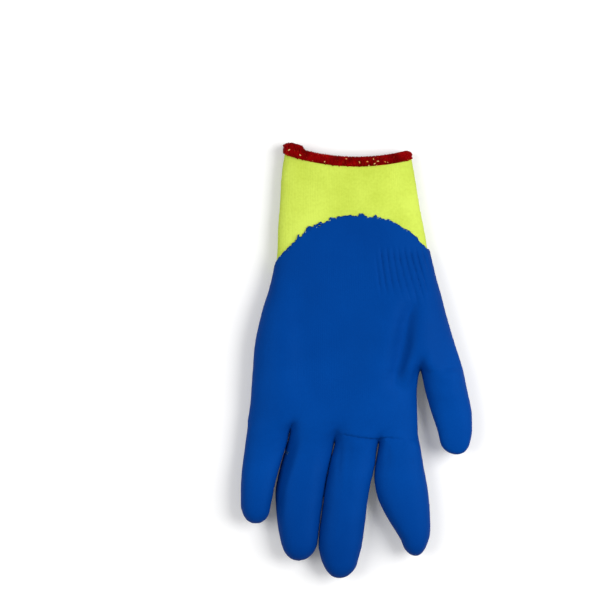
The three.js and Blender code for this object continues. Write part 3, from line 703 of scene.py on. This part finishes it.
def room_above(skin, normals, faces):
    """How thick the coat may be at each point: where two fingers press together it fills their gap."""
    tree = BVHTree.FromPolygons(skin.tolist(), faces.tolist())
    room = np.full(len(skin), COAT_OVER)
    for k, (point, out) in enumerate(zip(skin.tolist(), normals.tolist())):
        start = Vector(point) + 0.05 * Vector(out)
        distance = tree.ray_cast(start, Vector(out), 2 * PRESSED_COAT + PRESSED_GAP)[3]
        if distance is not None:
            room[k] = max((distance - PRESSED_GAP) / 2, COAT_LEAST)
    more = (room - COAT_OVER) * (1 - ease(room, COAT_OVER + 0.4, PRESSED_COAT))
    room = averaged(np.where(room < COAT_OVER, room, COAT_OVER + more), edges_of(faces), 10)
    for x, y in CROTCHES[1:]:
        away = np.hypot(skin[:, 0] - x, (skin[:, 1] - y + 6) / 2)
        opened = CROTCH_OPEN * (1 - ease(away, 2, 7)) * ease(skin[:, 2], 15, 19)
        room = np.maximum(room - opened, COAT_LEAST + 0.05)
    return room


def coat_piece(skin, normals, faces, reach):
    """The rubber coat over the palm, round the sides and over the fingertips."""
    room = room_above(skin, normals, faces)
    rows = np.column_stack([skin, normals, wale_places(skin, normals), room, reach])
    rows, faces = refine(rows, faces, (np.abs(rows[faces, REACH]) < 3.6).any(1))
    near = rows[:, REACH] > -8
    teeth = np.zeros(len(rows))
    teeth[near] = dip_teeth(rows[near, PLACE], rows[near, OUT][:, 2])
    rows[:, REACH] += teeth * (1 - ease(np.abs(rows[:, REACH]), 2.2, 4.2))
    rows, faces = cut_along(rows, faces, REACH, 0.06)
    under, out = rows[:, PLACE], unit(rows[:, OUT])
    depth = np.clip(rows[:, REACH] / EDGE_ROUND, 0, 1)
    bulge = np.sqrt(1 - (1 - depth) ** 2)
    thick = COAT_EDGE + (np.maximum(rows[:, ROOM], COAT_EDGE) - COAT_EDGE) * bulge
    thick = thick + 0.05 * soft_noise(under, 5, 21) * bulge
    points, faces = wall(under + thick[:, None] * out, under + COAT_UNDER * out, faces)
    maps = {"wales": rows[:, WALES], "dip_edge": rows[:, [REACH, 1]]}
    return make_piece("rubber_coat", points, faces, "rubber_coat", "palm_coat", **maps)


class RimPath:
    """The cuff's edge as a closed line, with its directions out of the wall and up past the edge."""

    def __init__(self, rim):
        self.rim, self.length = closed_line(rim, RIM_STEP)
        rim = self.rim
        forward = unit(np.roll(rim, -1, 0) - np.roll(rim, 1, 0))
        upward = np.array([0.0, 1.0, 0.0])
        self.up = unit(upward - (forward @ upward)[:, None] * forward)
        out = np.cross(forward, self.up)
        self.out = out * np.sign(((rim - rim.mean(0)) * out).sum())
        from_left = rim[:, 0] - rim[:, 0].min()
        from_right = rim[:, 0].max() - rim[:, 0]
        bumps = 1 + 0.12 * soft_noise(rim, 2.2, 31)
        lump = band(from_left, -2, 2.4, 7.8, 10.8) * bumps
        corner = bell(from_left, 1.3) + 0.8 * bell(from_right, 1.1)
        under = ease(-self.out[:, 2], 0.3, 0.9)
        self.rows = np.column_stack([rim, self.out, self.up, lump, corner, under])

    def at(self, passed, outward, upward):
        """Places at a way along the edge, out of the knit's face, and above its edge."""
        spot = (passed / self.length % 1) * len(self.rim)
        low = np.floor(spot).astype(int) % len(self.rim)
        high = (low + 1) % len(self.rim)
        t = (spot - np.floor(spot))[:, None]
        here = self.rows[low] * (1 - t) + self.rows[high] * t
        lump, corner, under = here[:, 9:].T
        middle = -KNIT_WALL / 2
        outward = middle + (outward - middle) * (1 + 0.35 * lump * (1 - under))
        outward = np.where(outward > 0, outward * (1 - 0.45 * under), outward)
        upward = upward + (LUMP_RISE * lump - CORNER_FALL * corner) * ease(upward, -BAND_HEIGHT, 0.6)
        upward = upward + 0.9 * corner * (1 - ease(upward, -BAND_HEIGHT, -2))
        return here[:, :3] + outward[:, None] * here[:, 3:6] + upward[:, None] * here[:, 6:9]


def band_piece(path):
    """The tight bed of thread under the loops, folded over the cuff's edge."""
    outer, inner = BAND_OUT, -KNIT_WALL - BAND_OUT
    skin_out, skin_in = COAT_UNDER, -KNIT_WALL - COAT_UNDER
    foot, waist = -BAND_HEIGHT, -2.6
    profile = [
        (skin_out, foot), (outer - 0.1, foot), (outer, foot + 0.3), (outer, waist), (outer, -0.2),
        (outer - 0.25, 0.4), (-KNIT_WALL / 2, 0.62), (inner + 0.25, 0.4), (inner, -0.2), (inner, waist),
        (inner, foot + 0.3), (inner + 0.1, foot), (skin_in, foot), (skin_in, waist), (skin_in, 0.12),
        (skin_out, 0.12), (skin_out, waist),
    ]
    stations = np.arange(0, path.length, BAND_STEP)
    rings = [path.at(stations, np.full(len(stations), o), np.full(len(stations), u)) for o, u in profile]
    points = np.stack(rings, 1)
    count, around = points.shape[:2]
    faces = grid_quads(count, around, True, True)
    if np.cross(path.out[0], path.up[0]) @ (path.rim[1] - path.rim[0]) > 0:
        faces = faces[:, ::-1]
    places = np.stack([np.repeat(stations, around), np.tile(np.arange(around) * 0.6, count)], 1)
    points = points.reshape(-1, 3)
    return make_piece("edging_bed", points, faces, "edging_thread", "cuff_edging", strand=places)


def tube(line, radius):
    """A closed round strand along a line, with its places along it and round it."""
    sides = THREAD_SIDES
    forward = unit(np.gradient(line, axis=0))
    across = np.empty_like(line)
    across[0] = unit(np.cross(forward[0], [0.31, 0.17, 0.94]))
    for k in range(1, len(line)):
        across[k] = unit(across[k - 1] - forward[k] * (across[k - 1] @ forward[k]))
    beside = np.cross(forward, across)
    radius = np.broadcast_to(radius, len(line)).copy()
    radius[[0, -1]] *= 0.35
    angle = np.arange(sides) * 2 * np.pi / sides
    ring = across[:, None] * np.cos(angle)[None, :, None] + beside[:, None] * np.sin(angle)[None, :, None]
    points = line[:, None] + ring * radius[:, None, None]
    fan = np.arange(1, sides - 1)
    last = np.full_like(fan, (len(line) - 1) * sides)
    caps = triangles((0 * fan, fan + 1, fan), (last, last + fan, last + fan + 1))
    faces = np.concatenate([halved(grid_quads(len(line), sides, False, True)), caps])
    passed = np.concatenate([[0], np.cumsum(np.linalg.norm(np.diff(line, axis=0), axis=1))])
    places = np.stack([np.repeat(passed, sides), np.tile(angle / (2 * np.pi) * 10, len(line))], 1)
    return points.reshape(-1, 3), faces, places


def slack(line):
    """The same line with its corners eased."""
    line[1:-1] = (line[:-2] + 2 * line[1:-1] + line[2:]) / 4
    return line


def joined(strands):
    """Several strands as one mesh."""
    points, faces, places = zip(*strands)
    starts = np.cumsum([0] + [len(rows) for rows in points[:-1]])
    moved = [own + start for own, start in zip(faces, starts)]
    return np.concatenate(points), np.concatenate(moved), np.concatenate(places)


def overlock_loops(path, rng):
    """The thread that winds over the edge and back through the knit, all the way round."""
    turns = int(path.length / THREAD_PITCH)
    per_turn = 22
    f = np.arange(turns * per_turn + 1) / per_turn
    turn = np.minimum(f.astype(int), turns - 1)
    part = f - np.floor(f)
    face = BAND_OUT + 0.22
    back = -KNIT_WALL - face
    low = -BAND_HEIGHT + 0.15 + rng.normal(0, 0.22, turns)[turn]
    stops = [0, 0.06, 0.40, 0.47, 0.53, 0.60, 0.94, 1]
    outward = np.interp(part, stops, [face - 0.5, face, face, face - 0.7, back + 0.7, back, back, face - 0.5])
    rise = np.interp(part, stops, [0, 0.06, 1, 1.14, 1.14, 1, 0.06, 0])
    upward = low + rise * (0.05 - low)
    outward += rng.normal(0, 0.07, turns)[turn] * np.sign(outward - back / 2 - face / 2)
    slant = 0.55 * (rise - 0.5) + rng.normal(0, 0.1, turns)[turn]
    line = slack(path.at(f / turns * path.length + slant, outward, upward))
    return tube(line, THREAD_RADIUS * (1 + rng.normal(0, 0.07, turns)[turn]))


def chain_stitch(path, rng, outward, low, high, period, radius):
    """A thread that zigzags along the band, over the loops."""
    f = np.arange(int(path.length / period) * 8 + 1) / 8
    swing = np.abs((f % 1) * 2 - 1)
    stitches = int(f[-1]) + 2
    stray = np.interp(f, np.arange(stitches), rng.normal(0, 1, stitches))
    upward = low + (high - low) * swing + 0.2 * stray
    lift = outward + 0.16 * np.sin(4 * np.pi * f) + 0.05
    line = path.at(f * path.length / f[-1] + 0.35 * period * np.sin(4 * np.pi * f), lift, upward)
    return tube(slack(line), radius)


def end_knot(path, rng):
    """The lumpy tangle where the overlock thread starts and ends, at the left end of the cuff."""
    middle = path.rim[:, 0].argmin() * path.length / len(path.rim)
    t = np.linspace(0, 1, 46)
    strands = []
    for k in range(7):
        sway = 2.3 + rng.uniform(-0.5, 0.7)
        phase = rng.uniform(0, 2 * np.pi)
        passed = middle + rng.uniform(-2.2, 3.6) + sway * np.sin(2 * np.pi * (1.5 + 0.35 * k) * t + phase)
        upward = -4.2 + 5.2 * t + 0.6 * np.sin(2 * np.pi * 2.4 * t + phase)
        outward = 1.15 + 0.3 * np.sin(2 * np.pi * 3.1 * t + k)
        strands.append(tube(path.at(passed, outward, upward), 0.33))
    return joined(strands)


def thread_piece(path):
    """All the red thread that lies on the band."""
    rng = np.random.default_rng(20)
    points, faces, places = joined([
        overlock_loops(path, rng),
        chain_stitch(path, rng, BAND_OUT + 0.72, -BAND_HEIGHT + 0.1, -BAND_HEIGHT + 1.1, 1.9, 0.25),
        chain_stitch(path, rng, BAND_OUT + 0.62, -1.9, -0.5, 2.6, 0.22),
        end_knot(path, rng),
    ])
    return make_piece("edging_threads", points, faces, "edging_thread", strand=places)


def fleck_piece(path):
    """Bits of the knit's own yarn that show between the red threads."""
    rng = np.random.default_rng(5)
    front = np.flatnonzero(path.out[:, 2] > 0.5)
    x = path.rim[front, 0]
    t = np.linspace(-0.5, 0.5, 7)
    outward = BAND_OUT + 0.66 - 1.6 * t**2
    strands = []
    for share in FLECKS:
        place = front[np.abs(x - x.min() - share * np.ptp(x)).argmin()] * path.length / len(path.rim)
        size = rng.uniform(0.7, 1.3)
        lean = rng.uniform(0, np.pi)
        upward = rng.uniform(-BAND_HEIGHT + 0.2, -0.2) + size * np.sin(lean) * t
        strands.append(tube(path.at(place + size * np.cos(lean) * t, outward, upward), 0.3))
    points, faces, places = joined(strands)
    return make_piece("yarn_flecks", points, faces, "knit", wales=places)


def label_piece(skin, skin_faces):
    """The bare woven label under the back of the cuff, its foot curled a little."""
    points, _ = node_surface("cuff_label")
    y = points[:, 1]
    foot, head = points[y < y.min() + 2.2], points[y > y.max() - 3.4]
    start = np.array([foot[:, 0].min(), foot[:, 1].mean()])
    across = np.array([np.ptp(foot[:, 0]), 0.0])
    rise = np.array([head[:, 0].min() - foot[:, 0].min(), head[:, 1].mean() - foot[:, 1].mean() - 0.4])
    columns, rows = 44, 52
    c = np.tile(np.linspace(0, 1, columns), rows)
    r = np.repeat(np.linspace(0, 1, rows), columns)
    plan = start + across * c[:, None] + rise * r[:, None]
    plan[:, 1] += 0.12 * np.sin(9 * c + 1) * (1 - r)
    tree = BVHTree.FromPolygons(skin.tolist(), skin_faces.tolist())
    hits = [tree.ray_cast(Vector((x, y, -20)), Vector((0, 0, 1)))[0] for x, y in plan.tolist()]
    cuff = np.array([hit.z if hit else 1.2 for hit in hits])
    curl = 0.14 * np.maximum(0, 1 - r * 9) * (0.6 + 0.4 * np.sin(5 * c))
    top = np.column_stack([plan, np.maximum(cuff - LABEL_GAP - curl, LABEL_THICK + 0.12)])
    thin = LABEL_THICK * (0.72 + 0.28 * ease(np.minimum(c, 1 - c), 0, 0.03))
    faces = halved(grid_quads(rows, columns, False, False))
    points, faces = wall(top, top - np.outer(thin, [0, 0, 1]), faces)
    places = np.stack([c * np.linalg.norm(across), r * np.linalg.norm(rise)], 1)
    return make_piece("woven_label", points, faces, "label_weave", "cuff_label", label=places)


def feed(tree, socket, value):
    """Sets an input to a value, or joins it to another node's output."""
    if isinstance(value, bpy.types.NodeSocket):
        tree.links.new(value, socket)
    else:
        socket.default_value = value


def add_node(tree, kind, settings=None, **inputs):
    """One node. An input's key is its name, or its number after a stroke such as _0."""
    node = tree.nodes.new(kind)
    for key, value in (settings or {}).items():
        setattr(node, key, value)
    for key, value in inputs.items():
        feed(tree, node.inputs[int(key[1:]) if key[0] == "_" else key.replace("_", " ")], value)
    return node


def worked_out(tree, operation, *values):
    """The output of one arithmetic node."""
    node = add_node(tree, "ShaderNodeMath", {"operation": operation})
    for socket, value in zip(node.inputs, values):
        feed(tree, socket, value)
    return node.outputs[0]


def times(tree, first, second):
    return worked_out(tree, "MULTIPLY", first, second)


def plus(tree, first, second):
    return worked_out(tree, "ADD", first, second)


def rest_of(tree, value):
    """What is left of 1."""
    return worked_out(tree, "SUBTRACT", 1.0, value)


def wave(tree, value, turns):
    """A sine wave, with so many half turns for each unit of the value."""
    return worked_out(tree, "SINE", times(tree, value, turns * math.pi))


def cloud(tree, scale, detail):
    """Noise that is fixed to the glove, finer for a larger scale."""
    place = add_node(tree, "ShaderNodeTexCoord").outputs["Object"]
    return add_node(tree, "ShaderNodeTexNoise", Vector=place, Scale=scale, Detail=detail).outputs[0]


def two_colours(tree, share, first, second):
    node = add_node(tree, "ShaderNodeMix", {"data_type": "RGBA"}, _0=share, _6=first, _7=second)
    return node.outputs[2]


def in_range(tree, value, start, end, low=0.0, high=1.0):
    """Low up to start and high from end on."""
    return add_node(tree, "ShaderNodeMapRange", _0=value, _1=start, _2=end, _3=low, _4=high).outputs[0]


def bump(tree, height, depth, before=None):
    """A normal that follows a height, its depth in millimetres, on top of the bump before it."""
    node = add_node(tree, "ShaderNodeBump", Height=height, Strength=1.0, Distance=depth * MM)
    if before is not None:
        tree.links.new(before, node.inputs["Normal"])
    return node.outputs[0]


def place_on(tree, map_name):
    """A place on the surface, in centimetres."""
    return add_node(tree, "ShaderNodeUVMap", {"uv_map": map_name}).outputs[0]


def apart(tree, vector):
    return add_node(tree, "ShaderNodeSeparateXYZ", _0=vector).outputs


def new_group(name, inputs, outputs):
    """A node group with its two ends. An input without a value is a vector."""
    group = bpy.data.node_groups.new(name, "ShaderNodeTree")
    for label, value in inputs.items():
        kind = "NodeSocketVector" if value is None else "NodeSocketFloat"
        socket = group.interface.new_socket(label, in_out="INPUT", socket_type=kind)
        if value is not None:
            socket.default_value = value
    for label in outputs:
        group.interface.new_socket(label, in_out="OUTPUT", socket_type="NodeSocketFloat")
    return group, group.nodes.new("NodeGroupInput").outputs, group.nodes.new("NodeGroupOutput").inputs


def use_group(tree, group, **inputs):
    return add_node(tree, "ShaderNodeGroup", {"node_tree": group}, **inputs).outputs


def mottle_group():
    """Broad and fine unevenness of a surface, as a shade and a height."""
    group, inside, outside = new_group("soft mottle", {"Broad": 40.0, "Fine": 400.0}, ["Shade", "Height"])
    broad = cloud(group, inside["Broad"], 2.0)
    fine = cloud(group, inside["Fine"], 3.0)
    feed(group, outside["Shade"], plus(group, times(group, broad, 0.7), times(group, fine, 0.3)))
    feed(group, outside["Height"], fine)
    return group


def stitch_group():
    """Rows of knitted loops: columns across, with a small V for every course along them."""
    sizes = {"Place": None, "Wale": 1.25, "Course": 1.0}
    group, inside, outside = new_group("knit loops", sizes, ["Height", "Groove"])
    place = apart(group, inside["Place"])
    across = worked_out(group, "DIVIDE", times(group, place[0], 10.0), inside["Wale"])
    along = worked_out(group, "DIVIDE", times(group, place[1], 10.0), inside["Course"])
    within = worked_out(group, "FRACT", across)
    column = wave(group, within, 1)
    slope = worked_out(group, "ABSOLUTE", worked_out(group, "SUBTRACT", within, 0.5))
    loop = wave(group, plus(group, along, times(group, slope, 1.2)), 2)
    feed(group, outside["Height"], times(group, column, plus(group, times(group, loop, 0.22), 0.78)))
    feed(group, outside["Groove"], worked_out(group, "POWER", rest_of(group, column), 2.0))
    return group


def new_material(name):
    material = bpy.data.materials.new(name)
    material.use_nodes = True
    return material, material.node_tree


def finished(material, **inputs):
    """Feeds the material's shader."""
    shader = material.node_tree.nodes["Principled BSDF"]
    for key, value in inputs.items():
        feed(material.node_tree, shader.inputs[key.replace("_", " ")], value)
    return material


def yellow_knit(mottle, loops):
    """Bright yellow fine knit, matt, with painted shade between its wales."""
    material, tree = new_material("yellow_knit")
    dull, bright, painted_groove_shade = (0.50, 0.62, 0.066, 1), (0.62, 0.76, 0.105, 1), (0.30, 0.42, 0.02, 1)
    soft = use_group(tree, mottle, Broad=35, Fine=700)
    knit = use_group(tree, loops, Place=place_on(tree, "wales"), Wale=1, Course=0.8)
    colour = two_colours(tree, in_range(tree, soft["Shade"], 0.36, 0.64), dull, bright)
    # painted shade: the knit's grooves between the wales go a little towards a darker olive yellow
    colour = two_colours(tree, times(tree, knit["Groove"], 0.1), colour, painted_groove_shade)
    normal = bump(tree, knit["Height"], 0.05, bump(tree, soft["Height"], 0.12))
    return finished(material, Base_Color=colour, Normal=normal, Roughness=0.9, Specular_IOR_Level=0.08)


def blue_rubber(mottle, loops):
    """Deep blue dipped rubber, satin, with the knit just felt through it, a thin ragged edge, and painted
    shade towards the fingertips and the heel.
    """
    material, tree = new_material("blue_rubber")
    deep, clear, tip_and_heel_shade_blue = (0.0002, 0.044, 0.256, 1), (0.0004, 0.054, 0.302, 1), (0.0001, 0.023, 0.16, 1)
    edge_blue, bared_yarn = (0.001, 0.022, 0.15, 1), (0.35, 0.52, 0.50, 1)
    soft = use_group(tree, mottle, Broad=28, Fine=900)
    knit = use_group(tree, loops, Place=place_on(tree, "wales"), Wale=1.25, Course=1)
    reach, along, _ = apart(tree, place_on(tree, "dip_edge"))
    colour = two_colours(tree, in_range(tree, soft["Shade"], 0.32, 0.68), deep, clear)
    # painted shade: the rubber darkens towards the fingertips and towards the heel of the palm; thick here is
    # this share of painted shade, not the coat's thickness
    towards_tips = in_range(tree, along, -12.4, -6.5, 1, 0)
    towards_heel = in_range(tree, along, -1, 5, 0, 0.45)
    thick = worked_out(tree, "MAXIMUM", towards_tips, towards_heel)
    colour = two_colours(tree, times(tree, thick, 0.55), colour, tip_and_heel_shade_blue)
    colour = two_colours(tree, in_range(tree, reach, 0, 0.12, 0.55, 0), colour, edge_blue)
    at_edge = in_range(tree, reach, 0.05, 0.1, 1, 0)
    speck = times(tree, in_range(tree, cloud(tree, 620, 1), 0.61, 0.66), at_edge)
    colour = two_colours(tree, speck, colour, bared_yarn)
    roughness = in_range(tree, soft["Shade"], 0.3, 0.7, 0.46, 0.6)
    normal = bump(tree, knit["Height"], 0.02, bump(tree, soft["Height"], 0.07))
    shine = {"Specular_IOR_Level": 0.1, "Specular_Tint": (0.1, 0.4, 1, 1)}
    return finished(material, Base_Color=colour, Normal=normal, Roughness=roughness, **shine)


def red_thread():
    """Twisted red thread with a soft shine, painted shade between its plies, and a few orange fibres."""
    material, tree = new_material("red_thread")
    deep, clear, between = (0.19, 0.0002, 0.0008, 1), (0.42, 0.001, 0.003, 1), (0.1, 0, 0.0005, 1)
    orange = (0.55, 0.13, 0.015, 1)
    strand = apart(tree, place_on(tree, "strand"))
    twist = plus(tree, times(tree, strand[0], 14), times(tree, strand[1], 2))
    ply = worked_out(tree, "ABSOLUTE", wave(tree, twist, 1))
    colour = two_colours(tree, in_range(tree, cloud(tree, 160, 3), 0.35, 0.65), deep, clear)
    # painted shade: the low places between the plies go towards a darker red
    colour = two_colours(tree, times(tree, rest_of(tree, ply), 0.45), colour, between)
    colour = two_colours(tree, in_range(tree, cloud(tree, 1100, 1), 0.70, 0.76, 0, 0.7), colour, orange)
    shine = {"Specular_IOR_Level": 0.1, "Specular_Tint": (1, 0.15, 0.1, 1)}
    return finished(material, Base_Color=colour, Normal=bump(tree, ply, 0.08), Roughness=0.5, **shine)


def fleck_yarn():
    """The knit's yarn where it is pulled up through the red thread, warm yellow."""
    material, tree = new_material("fleck_yarn")
    orange, yellow = (0.78, 0.30, 0.06, 1), (0.86, 0.66, 0.25, 1)
    colour = two_colours(tree, in_range(tree, cloud(tree, 260, 1), 0.4, 0.6), orange, yellow)
    return finished(material, Base_Color=colour, Roughness=0.8, Specular_IOR_Level=0.1)


def black_weave():
    """Black woven tape with one bare white band near its foot, and painted shade in the low places of its
    weave.
    """
    material, tree = new_material("black_weave")
    black, white, weave_dip_shade = (0.010, 0.010, 0.012, 1), (0.72, 0.73, 0.74, 1), (0.02, 0.02, 0.022, 1)
    rib_pitch, warp_pitch = 0.055, 0.04
    across, along, _ = apart(tree, place_on(tree, "label"))
    rib = worked_out(tree, "ABSOLUTE", wave(tree, along, 1 / rib_pitch))
    warp = worked_out(tree, "ABSOLUTE", wave(tree, across, 1 / warp_pitch))
    height = times(tree, rib, plus(tree, times(tree, warp, 0.4), 0.6))
    above_foot, below_top = in_range(tree, along, 0.105, 0.115), in_range(tree, along, 0.765, 0.775, 1, 0)
    colour = two_colours(tree, times(tree, above_foot, below_top), black, white)
    # painted shade: the weave's low places go halfway towards near black
    colour = two_colours(tree, times(tree, rest_of(tree, height), 0.5), colour, weave_dip_shade)
    normal = bump(tree, height, 0.09)
    return finished(material, Base_Color=colour, Normal=normal, Roughness=0.62, Specular_IOR_Level=0.3)


def overhead_camera():
    """Straight above the glove, far enough for the plan to look flat."""
    data = bpy.data.cameras.new("overhead")
    height, view_width, glove_middle = 1.7, 0.3465, 0.012
    look_x, look_y = -0.0326, 0.0354
    data.sensor_width = 36
    data.lens = data.sensor_width * (height - glove_middle) / view_width
    camera = add_object("overhead", data)
    camera.location = (look_x, look_y, height)
    bpy.context.scene.camera = camera


def pale_floor():
    """A wide sheet of pale paper, which looks whiter to the camera than it lights the glove."""
    mesh = bpy.data.meshes.new("floor")
    reach, drop = 6, 0.0004
    corners = [(-reach, -reach, 0), (reach, -reach, 0), (reach, reach, 0), (-reach, reach, 0)]
    mesh.from_pydata(corners, [], [(0, 1, 2, 3)])
    floor = add_object("floor", mesh)
    floor.location.z = -drop
    material, tree = new_material("floor_paper")
    seen = add_node(tree, "ShaderNodeLightPath").outputs["Is Camera Ray"]
    paper = two_colours(tree, seen, (0.5, 0.5, 0.5, 1), (0.97, 0.97, 0.97, 1))
    glow = {"Emission_Color": (1, 1, 1, 1), "Emission_Strength": times(tree, seen, 0.06)}
    mesh.materials.append(finished(material, Base_Color=paper, Roughness=0.9, Specular_IOR_Level=0.1, **glow))


def soft_light(name, place, side, watts):
    """A square lamp that faces the glove."""
    data = bpy.data.lights.new(name, "AREA")
    data.size = side
    data.energy = watts
    lamp = add_object(name, data)
    lamp.location = place
    lamp.rotation_euler = (-Vector(place)).to_track_quat("-Z", "Y").to_euler()


def studio():
    overhead_camera()
    pale_floor()
    for name, (place, side, watts) in LAMPS.items():
        soft_light(name, place, side, watts)
    world = bpy.data.worlds.new("room")
    world.use_nodes = True
    background = world.node_tree.nodes["Background"].inputs
    background["Color"].default_value = (1, 1, 1, 1)
    background["Strength"].default_value = ROOM_LIGHT
    bpy.context.scene.world = world
    bpy.context.scene.view_settings.view_transform = "Standard"


def build_glove():
    skin, normals, faces, depth, reach, rim = glove_skin()
    mottle, loops, red = mottle_group(), stitch_group(), red_thread()
    path = RimPath(rim[::8])
    pieces = [
        (knit_piece(skin, normals, faces, depth), yellow_knit(mottle, loops)),
        (coat_piece(skin, normals, faces, reach), blue_rubber(mottle, loops)),
        (band_piece(path), red),
        (thread_piece(path), red),
        (fleck_piece(path), fleck_yarn()),
        (label_piece(skin, faces), black_weave()),
    ]
    for piece, finish in pieces:
        piece.data.materials.append(finish)


studio()
build_glove()
